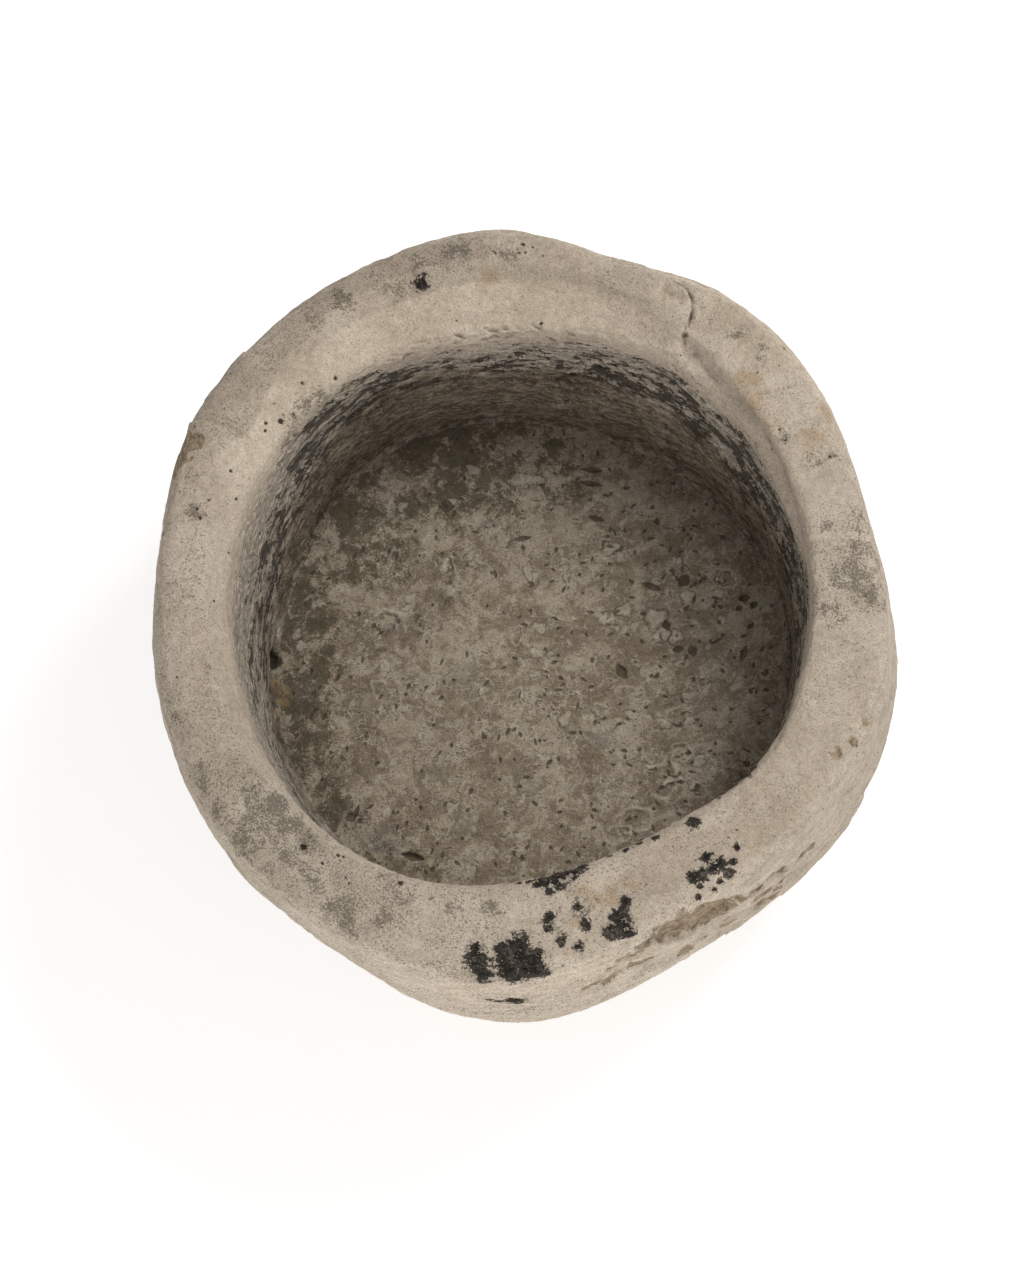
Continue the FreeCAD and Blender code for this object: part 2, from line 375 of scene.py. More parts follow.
# the valley inside the raised edge on the right, with painted shade down it
valley = [(88, 137, 150), (93, 131, 150), (98, 125, 150), (104, 117, 149), (111, 107.5, 148), (118.6, 98, 149.6), (124.7, 88.6, 150),
          (130.8, 77, 149.5), (136.8, 64, 147.5), (141.5, 52, 146), (145.5, 40, 144), (148.5, 29, 143), (150, 18, 143)]
hollow(valley, 5.0, 3.6, seed=60)
idx, d, side, place = to_line(valley, pad=22)
d = np.abs(d + wobble(idx, 12, 1.6, 59))
ends = smooth(place, 0, 0.1) * (1 - smooth(place, 0.72, 1.0))
valley_shade_falloff = np.where(side < 0, 1.5, 4.6)
# painted shade along the valley: it falls off fast on the outer side and slowly towards the bowl
tone_and_painted_light[idx] -= ends * (0.24 * np.exp(-(d / valley_shade_falloff) ** 2) + 0.06 * np.exp(-(d / 9.0) ** 2)) * np.clip(0.75 + 0.9 * wobble(idx, 9, 1.0, 58), 0.2, 1.4)
D[idx] += ends * 1.5 * np.exp(-((d - 11.0) / 5.0) ** 2) * (side < 0)
hollow([(86, 140, 151), (90, 133, 149), (94, 126, 148)], 4.0, 2.4, seed=68)
# painted shade in these two troughs, laid into the brown field
hollow([(76, 166, 155), (84, 162.5, 155), (92, 158.5, 155)], 3.2, 2.2, shade=0.42, seed=62)
hollow([(92, 147, 155), (99, 138, 154), (108, 129, 154)], 5.0, 1.3, shade=0.1, seed=61)
hollow([(-178, 60, 150), (-168, 58, 155), (-156, 58, 152)], 7.0, 1.3, seed=67)
hollow([(-30, 170, 153), (0, 172, 153), (34, 168, 153), (60, 160, 153)], 9.0, 1.6, seed=69)
fissure([(-4.9, 200.8, 153.8), (-7, 189, 155), (-7.6, 179.5, 153.7), (-5.7, 170.4, 150.3)], width=0.6, depth=0.3, dark=0.28, seed=54)
fissure([(125.1, 104.2, 155), (134.6, 104.5, 155), (145.2, 107.7, 155), (154.9, 112, 152.5)], width=0.7, depth=0.45, ledge=1.4, dark=0.30, seed=55)
fissure([(150, 12.6, 151), (154.2, 13.4, 153.1), (164.6, 14.7, 155), (174, 17.2, 155), (182.5, 19.6, 152.7)], width=0.8, depth=0.5, ledge=1.0, dark=0.40, seed=56)
fissure([(151.7, -43.1, 153.8), (164.4, -46, 155), (177.2, -45.2, 155), (190.4, -39.9, 149.8)], width=0.5, depth=0.25, dark=0.25, seed=57)
fissure([(110.5, -117.6, 154.8), (116.5, -125.3, 155), (122.9, -133.9, 155), (126.8, -140.7, 154.6)], width=0.45, depth=0.3, dark=0.30, seed=58)
fissure([(-142, -121, 155), (-143, -125, 155), (-146, -130, 154)], width=0.6, depth=0.3, dark=0.5, seed=48)

# scattered pocks on the rim and the outside
for k in range(700):
    i = rng.uniform(0, N)
    s = rng.uniform(S_WALL[int(i) % N] + 4, S_FOOT[int(i) % N] - 20)
    size = rng.uniform(0.9, 1.7) * (1.7 if rng.random() < 0.06 else 1.0)
    depth = size * rng.uniform(0.15, 0.4)
    stamp((D, pit), i, s, size * rng.uniform(1, 1.8), size, rng.uniform(-1.5, 1.5),
          lambda x, y, depth=depth: (-depth * spot(x, y), spot(x, y) * rng.uniform(0.2, 0.8)))


def pock(x, y, z, radius, depth=1.0):
    idx = near([(x, y, z)], radius * 2.2)
    d = np.linalg.norm(P[idx] - np.array([x, y, z]), axis=1) / radius
    d = d + 0.8 * noise(radius * 1.8, 2, seed=49, at=P[idx])
    k = 1 - smooth(d, 0.4, 1.2)
    D[idx] -= depth * k
    crack[idx] = np.maximum(crack[idx], 1.2 * k)


for x, y, z, radius in (
    (4, 195, 155, 1.5), (2, 190, 155, 1.5), (5, 190, 155, 1.2), (-11, 190, 155, 1.2), (9, 193, 155, 1.1), (-134, 97, 149, 1.5), (-134, 93, 148, 1.5),
    (-127, 99, 146, 2.2), (-115, 120, 148, 1.6), (-98, 124, 144, 1.7), (-152, 69, 151, 1.8), (-149, 54, 148, 1.8), (-169, 46, 155, 1.3),
    (-167, 41, 155, 1.6), (-188, 35, 149, 2.4), (-163, 51, 155, 1.2), (-147, 37, 139, 1.8), (-140, 47, 114, 1.6), (-159, -5, 151, 1.1),
    (-105, -130, 153, 1.3), (-99, -150, 155, 1.5), (-91, -146, 155, 1.4), (-88, -147, 155, 1.3), (-90, -149, 155, 1.0), (-87, -158, 155, 1.1),
    (-85, -161, 155, 1.1), (-59, -161, 155, 2.0), (-109, -141, 155, 2.4), (-106, -136, 154, 1.6), (165, 67, 155, 1.4), (142, 77, 155, 1.5), (139, 83, 155, 1.3),
    (-48, 192, 154, 1.5), (-30, 195, 154, 1.3), (172, -56, 154, 1.2), (13, 153, 144, 1.4),
):
    pock(x, y, z, radius * 0.8, depth=radius * 0.6)

# hewn strokes down the outside: long shallow flutes and the layered bedding they opened
for k in range(1500):
    i = rng.uniform(0, N)
    s = rng.uniform(S_RIM[int(i) % N] - 14, S_FOOT[int(i) % N] - 12)
    long = rng.uniform(6, 19)
    wide = rng.uniform(1.6, 4.2)
    depth = rng.uniform(0.25, 1.15)
    stamp((D, pit), i, s, long, wide, math.radians(rng.normal(8, 9)),
          lambda x, y, depth=depth: (-depth * lens(x, y) ** 0.8, 0.22 * lens(x, y)))

# broad scoops low on the outside, where the block was roughed out, with a little painted shade inside them
for k in range(150):
    i = rng.uniform(0, N)
    s = rng.uniform(S_RIM[int(i) % N] + 34, S_FOOT[int(i) % N] - 14)
    depth = rng.uniform(0.7, 2.2)
    stamp((D, tone_and_painted_light), i, s, rng.uniform(13, 30), rng.uniform(6, 12), math.radians(rng.normal(6, 14)),
          lambda x, y, depth=depth: (-1.25 * depth * spot(x, y) ** 0.6, -0.03 * spot(x, y)))

# the broken facet low on the near right, with bedding showing
middle = [(60, -193.5, 136.5), (67, -189.5, 137), (75.5, -184, 137), (84, -179, 131), (93, -174, 129), (103.5, -169.5, 128.5), (113.5, -163.5, 117)]
widths = [4.0, 9.0, 13.0, 19.0, 20.0, 16.0, 4.0]
idx, d, side, place = to_line(middle, pad=30)
d = np.abs(d + wobble(idx, 11, 2.4, 63)) / np.interp(place, np.linspace(0, 1, 7), widths)
k = (1 - smooth(d, 0.78, 1.0)) * smooth(place, 0.0, 0.04) * (1 - smooth(place, 0.94, 1.0))
bed = noise(9, 3, seed=64, at=round_pos[idx], gain=0.6)
D[idx] -= k * (3.6 + 2.0 * bed)
idx, d, side, place = to_line([(70, -189, 138), (77, -185.5, 131), (84, -181.5, 127), (91, -178, 125), (98, -174, 120), (105, -169.5, 114), (112, -165, 106)], pad=26)
d = np.abs(d + wobble(idx, 8, 3.2, 61)) / np.interp(place, np.linspace(0, 1, 7), [5.0, 9.0, 14.0, 15.0, 13.0, 10.0, 4.0])
k = (1 - smooth(d, 0.80, 1.0)) * smooth(place, 0.0, 0.05) * (1 - smooth(place, 0.93, 1.0))
earth_bed = noise(4.5, 3, seed=62, at=round_pos[idx], gain=0.7)
facet_brown = (idx, k * np.clip(0.85 + 0.9 * earth_bed, 0.1, 1.2))
D[idx] -= k * (0.9 + 0.7 * earth_bed)
crack[idx] = np.maximum(crack[idx], 0.55 * np.exp(-((d - 0.92) / 0.07) ** 2) * (P[idx][:, 2] > 126) * (place < 0.75))
for line, width in (
    ([(49, -199, 130), (58, -195, 131)], 4.4),
    ([(56, -196, 121), (62, -193, 127), (69, -190, 134)], 5.0),
    ([(59, -194.5, 136), (66, -191, 134)], 2.6),
    ([(30, -207, 106), (43, -203, 110)], 4.0),
    ([(40, -204, 103), (46, -201, 107), (53, -198, 112)], 4.6),
    ([(44, -201, 122), (51, -198, 123)], 2.8),
    ([(54, -198, 113), (69, -190, 104)], 3.4),
    ([(81, -182, 84), (89, -178, 76)], 5.0),
    ([(100, -170, 92), (110, -164, 84)], 5.0),
    ([(117, -161, 120), (127, -155, 117)], 4.4),
    ([(127, -154, 124), (133, -150, 119), (141, -144, 113)], 4.6),
    ([(119, -160.5, 106), (126, -156, 102), (133, -151, 100)], 5.4),
    ([(129, -153, 93), (138, -146, 84)], 5.0),
    ([(132, -151, 100), (146, -140, 94)], 4.6),
    ([(121, -158, 84), (135, -147, 72)], 5.0),
    ([(143, -140, 116), (152, -131, 108)], 4.2),
    ([(-5, -214.5, 100), (12, -213, 100)], 2.6),
    ([(5, -213, 113), (-9, -213.6, 119)], 2.8),
    ([(-60, -198, 96), (-44, -205, 92)], 2.4),
    ([(-120, -162, 90), (-104, -175, 84)], 2.8),
    ([(150, -130, 70), (162, -112, 66)], 3.0),
    ([(-180, -60, 80), (-186, -40, 84)], 2.6),
    ([(60, 180, 90), (80, 172, 94)], 2.8),
    ([(-90, 168, 70), (-70, 178, 74)], 3.0),
    ([(182, 20, 90), (186, 44, 84)], 2.6),
):
    idx, d, side, place = to_line(line, pad=14)
    d = np.abs(d + wobble(idx, 5, 1.6, 65))
    k = (1 - smooth(d, width * 0.7, width * 1.15)) * smooth(place, 0, 0.12) * (1 - smooth(place, 0.88, 1))
    D[idx] -= 1.3 * k
    brown_stain_and_shade[idx] = np.maximum(brown_stain_and_shade[idx], k * np.clip(0.8 + 0.9 * noise(5, 3, seed=47, at=round_pos[idx]), 0.15, 1.1))

# the small hollow in the root of the wall, on the left
idx = near([(-140, -5, 57)], 14)
q = P[idx] - np.array([-140.5, -5.0, 58.0])
d = np.sqrt((q[:, 0] / 6.0) ** 2 + (q[:, 1] / 6.5) ** 2 + (q[:, 2] / 6.0) ** 2)
d = d + 0.15 * noise(5, 2, seed=66, at=P[idx])
D[idx] -= 4.6 * (1 - smooth(d, 0.35, 1.15))
crack[idx] = np.maximum(crack[idx], 1.1 * (1 - smooth(d, 0.55, 1.25)))

# ---------------------------------------------------------------- grinding floor: shells, casts, pits

CELL, FX, FY = 0.5, 150.0, 165.0
gx = np.arange(-FX, FX, CELL)
gy = np.arange(-FY, FY, CELL)
f_height = np.zeros((len(gx), len(gy)))
f_shell = np.zeros_like(f_height)
f_pit = np.zeros_like(f_height)


def on_floor(x, y, a, b, turn, shape, fields):
    reach = max(a, b) * 1.7
    i = slice(max(int((x - reach + FX) / CELL), 0), max(int((x + reach + FX) / CELL), 0))
    j = slice(max(int((y - reach + FY) / CELL), 0), max(int((y + reach + FY) / CELL), 0))
    if i.stop <= i.start or j.stop <= j.start or not len(gx[i]) or not len(gy[j]):
        return
    ax, ay = gx[i][:, None] - x, gy[j][None, :] - y
    c, s = math.cos(turn), math.sin(turn)
    u, v = (ax * c + ay * s) / a, (-ax * s + ay * c) / b
    for field, value in zip(fields, shape(u, v)):
        field[i, j] += value


def cast_of_shell(span, ridge, sink):
    """The mould a shell left: a thin pale rim along part of an oval, sunk inside."""
    def shape(u, v):
        ang = np.arctan2(v, u)
        e = np.sqrt(u * u + v * v) * (1 + 0.13 * np.sin(2 * ang + 9 * span) + 0.09 * np.sin(5 * ang + 31 * ridge + 4 * sink))
        part = smooth(np.cos(ang), math.cos(span) - 0.15, math.cos(span) + 0.15)
        broken = np.clip(0.65 + 0.55 * np.sin(7 * ang + 17 * span), 0, 1)
        rimline = np.exp(-((e - 1) / 0.12) ** 2) * part
        inside = 1 - smooth(e, 0.7, 0.95)
        return ridge * rimline - sink * inside, 1.3 * rimline - 0.1 * inside, 0.30 * inside * sink + 0.62 * np.exp(-((e - 0.80) / 0.10) ** 2) * part * broken
    return shape


def flake(height):
    """A piece of shell standing a little proud of the worn floor."""
    def shape(u, v):
        ang = np.arctan2(v, u)
        e = np.sqrt(u * u + v * v) * (1 + 0.16 * np.sin(3 * ang + 23 * height) + 0.11 * np.sin(5 * ang + 41 * height))
        k = 1 - smooth(e, 0.75, 1.0)
        return height * k, 1.1 * k, 0.85 * np.exp(-((e - 1.12) / 0.14) ** 2)
    return shape


def slot_pit(depth):
    def shape(u, v):
        k = lens(u, v)
        return -depth * k ** 0.6, -0.1 * k, 2.2 * k ** 0.6
    return shape


floor_fields = (f_height, f_shell, f_pit)
for k in range(1500):
    ang, rad = rng.uniform(0, 2 * np.pi), 150 * math.sqrt(rng.random())
    x, y = rad * math.cos(ang), rad * math.sin(ang)
    turn = rng.uniform(0, np.pi) if x > -40 else rng.normal(1.15, 0.35)
    kind = rng.random()
    rich = 0.24 + 0.46 * smooth(x - 0.4 * y + 12 * rng.normal(), -50, 90)
    if rng.random() > rich:
        continue
    if kind < 0.12:
        size = rng.uniform(1.8, 5.0)
        on_floor(x, y, size * rng.uniform(0.9, 1.7), size * rng.uniform(0.55, 1.0), turn,
                 cast_of_shell(rng.uniform(0.8, 2.4), rng.uniform(0.12, 0.35), rng.uniform(0.0, 0.25)), floor_fields)
    elif kind < 0.36:
        size = rng.uniform(1.4, 3.4)
        on_floor(x, y, size * rng.uniform(0.8, 1.7), size * rng.uniform(0.5, 0.9), turn, flake(rng.uniform(0.1, 0.3)), floor_fields)
    else:
        on_floor(x, y, rng.uniform(1.2, 3.0), rng.uniform(0.7, 1.2), turn, slot_pit(rng.uniform(0.25, 0.8)), floor_fields)

# the ones that stand out
for x, y, a, b, turn, shape in (
    (-79, 16, 9.0, 6.5, 1.0, cast_of_shell(1.5, 0.3, 1.1)),
    (70, 15, 6.0, 5.5, 0.4, flake(1.3)), (53, 20, 4.5, 3.6, 0.2, flake(0.9)), (81, 4, 4.2, 3.4, 0.9, flake(0.9)),
    (46, 57, 5.0, 3.4, 0.3, flake(0.5)), (20, -42, 5.0, 2.6, 1.1, flake(0.5)), (88, 26, 3.2, 5.6, 0.1, flake(0.7)),
    (68, 34, 7.0, 2.2, -0.4, slot_pit(1.8)), (51, -15, 3.4, 5.6, 0.5, slot_pit(2.2)), (86, 37, 5.0, 3.8, 0.9, slot_pit(1.6)),
    (76, 11, 2.6, 3.4, 0.3, slot_pit(1.8)), (82, -3, 3.6, 2.4, 0.2, slot_pit(1.5)), (90, -4, 3.0, 4.2, 0.3, slot_pit(1.2)),
    (38, 75, 6.0, 1.8, -0.35, slot_pit(1.4)), (-3, 64, 6.5, 1.7, 0.15, slot_pit(1.3)), (36, 104, 8.0, 2.0, -0.1, slot_pit(1.2)),
    (35, 96, 8.0, 2.0, -0.2, slot_pit(1.3)), (-2, 99, 10.0, 3.0, 0.05, flake(0.5)), (108, 38, 7.0, 5.0, -0.7, cast_of_shell(3.1, 0.4, 0.9)),
    (-62, -118, 8.0, 2.6, -0.25, slot_pit(2.4)), (-96, -95, 4.0, 3.2, 0.4, slot_pit(1.8)), (-93, -92, 5.0, 1.4, 1.2, slot_pit(1.3)),
    (-43, 86, 3.4, 2.8, 0.3, flake(1.0)), (-45, 84, 4.8, 4.2, 0.0, slot_pit(1.2)), (119, 26, 4.0, 2.6, 0.3, slot_pit(1.7)),
    (124, 22, 3.0, 2.2, 0.9, slot_pit(1.6)), (116, 20, 2.4, 2.0, 0.3, slot_pit(1.3)), (118, -6, 2.4, 6.0, -0.3, slot_pit(1.0)),
    (-80, -24, 4.4, 6.5, 0.5, cast_of_shell(2.9, 0.4, 0.3)), (-6, 7, 3.0, 5.0, -0.3, cast_of_shell(2.9, 0.5, 0.3)),
    (72, -78, 11.0, 8.0, 0.3, cast_of_shell(2.3, 0.6, 0.2)), (78, -84, 7.0, 5.5, 0.3, cast_of_shell(2.4, 0.6, 0.4)),
    (57, -100, 9.0, 7.5, 0.4, cast_of_shell(2.7, 0.7, 0.2)), (48, -108, 7.0, 5.0, 0.1, cast_of_shell(2.5, 0.6, 0.4)),
    (83, -62, 5.5, 4.6, 0.1, cast_of_shell(2.9, 0.7, 0.7)), (92, -84, 4.2, 3.6, 0.1, cast_of_shell(2.9, 0.6, 0.8)),
    (80, -44, 9.0, 5.0, 0.9, cast_of_shell(2.4, 0.5, 0.2)), (-8, -30, 6.0, 4.0, 1.0, cast_of_shell(2.6, 0.5, 0.3)),
):
    on_floor(x, y, a, b, turn, shape, floor_fields)


def from_floor(grid):
    gi = np.clip((X + FX) / CELL, 0, len(gx) - 1.001)
    gj = np.clip((Y + FY) / CELL, 0, len(gy) - 1.001)
    a, b = np.floor(gi).astype(int), np.floor(gj).astype(int)
    s, t = gi - a, gj - b
    return (grid[a, b] * (1 - s) * (1 - t) + grid[a + 1, b] * s * (1 - t)
            + grid[a, b + 1] * (1 - s) * t + grid[a + 1, b + 1] * s * t)


inside = is_floor * (1 - smooth(J, J_ROOT - 5, J_ROOT))
D += from_floor(f_height) * inside
shell += from_floor(f_shell) * inside
pit += from_floor(f_pit) * inside

# ---------------------------------------------------------------- stains

blot(soot, [(-19, -203, 154, 6.5), (-17, -209, 150, 6), (-20, -197, 155, 4), (-1, -201, 155, 9.5), (8, -203, 154, 7), (1, -195, 155, 5.5), (-7, -198, 155, 5),
            (-4, -207, 152, 8), (10, -208, 149, 6), (0, -211, 147, 6), (5, -209, 150, 7), (-8, -204, 153.5, 3),
            (52, -182, 155, 5), (53, -187, 154, 5), (48.5, -189, 155, 4.4), (57, -189, 153, 3.4), (55, -173, 155, 2.8), (54, -177, 155, 2.4),
            (23, -193, 155, 2.8), (31, -196, 154, 2.7), (31, -176, 155, 2.4), (35, -185, 155, 3.0), (17, -181, 155, 3.0), (16, -187, 155, 2.2),
            (29, -157, 154, 3.8), (26, -154, 150, 3.8), (14, -162, 154, 4.4), (17, -167, 155, 2.8), (11, -163, 155, 3.2), (22, -160, 154.5, 4.6),
            (20, -157, 152, 3.6), (7, -162.5, 152.8, 2.0), (1, -163, 152.5, 1.8), (-6, -163.5, 152, 1.4),
            (12, -210, 150, 4.4), (16, -211, 148, 3.4), (26, -157.5, 153.5, 5.2), (20, -161.5, 154.8, 5.0), (15, -163, 154.6, 3.6), (33, -154, 153, 3.6),
            (90, -161, 155, 3.4), (94, -160, 155, 3.4), (100, -156, 155, 3.6), (103, -154, 155, 3.4), (108, -159, 153, 2.8), (109.5, -153, 155, 2.2),
            (92, -171, 152, 1.7), (93, -166, 154, 1.7), (100, -167, 151, 1.7), (103, -163, 152, 1.6), (97, -151, 155, 3.2), (112, -146, 155, 2.0),
            (70.5, -139.4, 153, 2.2), (90, -132.2, 155, 3.4), (63, -142, 152, 2.0), (97, -120, 153, 2.6), (100, -116, 152, 3.2), (105, -112, 151, 2.8),
            (116, -105, 151, 4.2), (111, -109, 151, 3.6), (120.5, -101.6, 150, 3.2), (47, -148, 153, 1.8), (55, -145, 153, 2.0),
            (-16, -214, 119, 2.2), (-11, -214, 115, 3.2), (-5, -214, 115, 3.4), (-2, -214, 113, 2.8),
            (-51.4, 174.4, 153.5, 4.4)], edge=0.5, seed=71)
blot(speck, [(-131, -132, 155, 12), (-140, -140, 154, 9), (-126, -120, 155, 9), (172, -6, 155, 13), (184, 8, 153, 12), (180, 26, 153, 8), (165, -20, 155, 8), (-121, -118, 155, 11), (-117, -129, 155, 11), (-110, -140, 155, 10), (-101, -136, 154, 7), (-114, -146, 155, 12), (-103, -154, 155, 13),
             (-125, -153, 154, 7), (-136, -113, 155, 7), (-152, -123, 153, 9), (-64, -162, 155, 8), (-57, -167, 155, 7), (-177, -70, 153, 8),
             (-164, -99, 154, 6), (-162, -106, 154, 9), (-87, -177, 155, 12), (-70, -182, 155, 10),
             (-170, 44, 155, 6), (-176, 62, 152, 7),
             (177, 3, 155, 11), (181, 18, 154, 8), (183, -9, 154, 9), (176, 35, 154, 6), (163, 29, 155, 5), (160, 15, 155, 4), (168, -3, 155, 7),
             (177, 13, 155, 8), (191, -15, 150, 5), (142, 77, 155, 4), (157, 66, 155, 6), (165, 67, 155, 5), (118, 139, 155, 4), (130, 127, 155, 4),
             (-76, 176, 155, 5), (-71, 171, 155, 3.6), (-64, 172, 154, 5), (-30, 193, 155, 9), (-44, 188, 155, 8), (-53, 183, 155, 6),
             (-94, 165, 155, 8), (-112, 156, 155, 8), (-121, 101, 144, 5), (-114, 108, 143, 5), (-107, 114, 143, 5), (-125, 89, 136, 5), (-119, 97, 141, 4),
             (17, -184, 155, 6), (-12, -176, 155, 6), (33, -177, 155, 7), (-34, -174, 155, 8), (-3, 190, 155, 6), (60, 190, 152, 8)],
     edge=1.5, seed=72)
blot(ochre, [(42, -172, 155, 7), (48, -170, 155, 7), (57, -164, 155, 5), (33, -168, 155, 5), (31, -183, 155, 4), (-135, -23, 55, 6), (-133, -28, 55, 4),
             (-139, -19, 57, 5), (126, 99, 155, 6), (134, 85, 155, 5), (157, 77, 155, 8), (165, 93, 151, 6), (127, 111, 155, 6), (120, 113, 155, 5),
             (-14, 176, 154, 6)], edge=1.1, seed=73)
blot(brown_stain_and_shade, [(-177, 82, 151, 7), (-175, 87, 151, 6), (-179, 78, 150, 7), (-171, 84, 154, 5), (-182, 70, 146, 6), (164, -97, 154, 3), (172, -90, 152, 3),
             (178, -79, 151, 2.4), (170, -84, 153, 2)], edge=0.9, seed=74)
blot(brown_stain_and_shade, [(77, -184, 146, 4), (71, -186, 146, 3.4), (81, -183, 124, 7), (88, -179, 122, 7), (98, -174, 112, 5), (84, -180, 148, 4.4), (92, -176, 140, 5.4),
             (100, -172, 128, 5.6), (107, -168, 119, 5), (114, -163, 119, 3.6)], edge=0.7, seed=76)
from_wall = R[:, J_ROOT:J_ROOT + 1] - R
mossy = smooth(-0.75 * X + 0.75 * Y, 30, 125) + 0.75 * (1 - smooth(from_wall, 4, 42)) * smooth(-X, 20, 90) + 0.5 * smooth(Y, 70, 125)
green = np.maximum(green, is_floor * np.clip(mossy, 0, 1) * np.clip(0.62 + 1.7 * noise(30, 4, seed=75, gain=0.62), 0, 1.2))
green = np.maximum(green, 0.5 * wall * (1 - smooth(Z, 60, 96)) * smooth(-X, 60, 110) * smooth(Y, -20, 40))
idx, k = facet_brown
brown_stain_and_shade[idx] = np.maximum(brown_stain_and_shade[idx], k)

# lichen pepper over the rim and the outside, thin on the smooth inner slope
speck = np.clip(speck, 0, 1.25) * np.clip(0.75 + 1.5 * noise(13, 4, seed=73, gain=0.65), 0.05, 1.1)
cosT = lambda deg: np.cos(np.radians(TH - deg))
near_left = smooth(cosT(228), 0.1, 0.95)
pepper = 0.05 + 0.45 * noise(38, 4, seed=77, gain=0.6) + 0.28 * near_left * (1 + 1.8 * noise(24, 4, seed=74, gain=0.6))
slope = rim * smooth(155.2 - Z, 1.5, 4.5) * (R < 176)
pepper = np.clip(pepper, 0.05, 1) * (1 - 0.75 * slope)
speck = np.maximum(speck * 0.95, pepper * (1 - is_floor) * (1 - wall))

# the rim: a darker weathered band along the outer edge on the far left, tone here and there, and painted light on the
# far inner slope and on the near side
band_edge = np.interp(TH, (0, 88, 93, 104, 113, 120, 126, 134, 141, 146, 152, 158, 200, 360), (190, 190, 189, 189, 188, 186, 183.5, 179, 174.5, 169, 172, 180, 188, 190))
weathered = smooth(R - band_edge + 6 * noise(14, 4, seed=78, gain=0.6), -0.5, 2.0) * smooth(TH, 84, 100) * (1 - smooth(TH, 150, 160)) * (1 - is_floor) * smooth(Z + 22 * noise(34, 3, seed=85), 88, 146)
tone_and_painted_light -= 0.12 * weathered
speck = np.maximum(speck, 0.28 * weathered * (1 + 1.2 * noise(20, 3, seed=84)))
# painted light: the inner slope of the rim on the far side made paler
tone_and_painted_light += 0.13 * slope * smooth(cosT(110), 0.0, 0.8)
tone_and_painted_light += 0.07 * rim * smooth(cosT(180), 0.6, 0.97)
# the near side paler, most on the outside: partly cleaner stone, partly painted light from the front
tone_and_painted_light += 0.05 * smooth(cosT(275), 0.55, 0.95) * (rim + 1.8 * outer)
tone_and_painted_light -= 0.04 * rim * smooth(cosT(8), 0.80, 0.98)
tone_and_painted_light -= 0.07 * rim * smooth(cosT(223), 0.82, 0.98)
# fine hewn wrinkles, strongest on the left of the rim; their colour follows the relief, with painted shade in the
# hollows and painted light on the crests
wrinkle = noise(8, 4, seed=14, gain=0.7)
hewn_here = (rim + outer) * (0.35 + 0.65 * smooth(cosT(185), -0.1, 0.9)) * (1 - 0.6 * slope)
D += 0.34 * wrinkle * hewn_here * taper
# painted shade in the wrinkle hollows and painted light on their crests
tone_and_painted_light += 0.085 * wrinkle * hewn_here
# a paler patch on the near outside below the rim: partly cleaner stone, partly painted light from the front
tone_and_painted_light += 0.12 * np.exp(-(((X - 34) / 34) ** 2 + ((Y + 206) / 24) ** 2 + ((Z - 136) / 20) ** 2))
tone_and_painted_light -= 0.06 * noise(45, 3, seed=79) * (1 - is_floor)
smooth_stone = np.clip(slope + 0.6 * (1 - smooth(np.abs(Z - 150), 2, 7)) * wall, 0, 1)

# the inner wall: soot above, brown below, in streaks that follow the wall round, and painted shade at its foot
streak = noise(30, 4, seed=80, at=round_pos, gain=0.62)
lobes = noise(34, 3, seed=81)
z_top = np.interp(TH, (0, 8, 18, 28, 39, 49, 60, 68, 79, 93, 107, 122, 134, 145, 158, 166, 180, 192, 215, 245, 290, 315, 335, 348, 360),
                  (122, 120, 120, 124, 127, 125, 124, 128, 124, 122, 129, 133, 128, 120, 110, 105, 103, 101, 102, 106, 110, 116, 124, 130, 122))
z_mid = np.interp(TH, (0, 18, 33, 44, 58, 73, 90, 103, 119, 130, 142, 157, 170, 200, 300, 345, 360), (92, 94, 100, 102, 106, 111, 113, 113, 117, 110, 100, 88, 82, 78, 80, 88, 92))
rise = Z + 16 * streak + 9 * lobes
far_right = smooth(cosT(70), -0.6, 0.35)
wall_soot = wall * smooth(rise, z_mid - 16, z_mid + 6) * (1 - smooth(rise, z_top - 8, z_top + 12)) * (0.33 + 0.24 * far_right)
wall_soot *= 1 - 0.42 * smooth(Z, 106, 118) * smooth(cosT(90), 0.85, 0.99)
wall_soot += wall * 0.07 * (1 - smooth(rise, z_top + 4, z_top + 24))
wall_brown = wall * (1 - smooth(rise, z_mid - 9, z_mid + 9)) * (0.58 + 0.22 * far_right)
# painted shade low on the inner wall, next to the floor
tone_and_painted_light -= 0.06 * wall * (1 - smooth(Z, 56, 80))
tone_and_painted_light -= 0.09 * outer * (1 - smooth(Z + 26 * noise(40, 3, seed=86), 12, 66))

# the floor: darker in the corner, deepest under the right and far walls, grime together with painted shade where those
# walls shadow the floor; painted light on the near side and in the middle
corner_grime_and_shade = is_floor * (1 - smooth(from_wall + 5 * noise(20, 3, seed=83), 3, 30))
# the corner darkening: grime with painted shade, strongest under the right and far walls
tone_and_painted_light -= corner_grime_and_shade * (0.08 + 0.22 * smooth(cosT(18), 0.1, 0.95) + 0.10 * smooth(cosT(90), 0.3, 0.95))
# painted shade: the floor darker towards the far right, where the walls shadow it
tone_and_painted_light -= 0.03 * is_floor * smooth(X * 0.9 + Y * 0.45, 50, 120)
tone_and_painted_light += 0.09 * is_floor
# painted light: the floor paler towards the near side
tone_and_painted_light += 0.06 * is_floor * smooth(-Y, 20, 110) * (1 - corner_grime_and_shade)
tone_and_painted_light += 0.10 * wall * smooth(cosT(52), 0.80, 0.98) * smooth(Z, 76, 98)
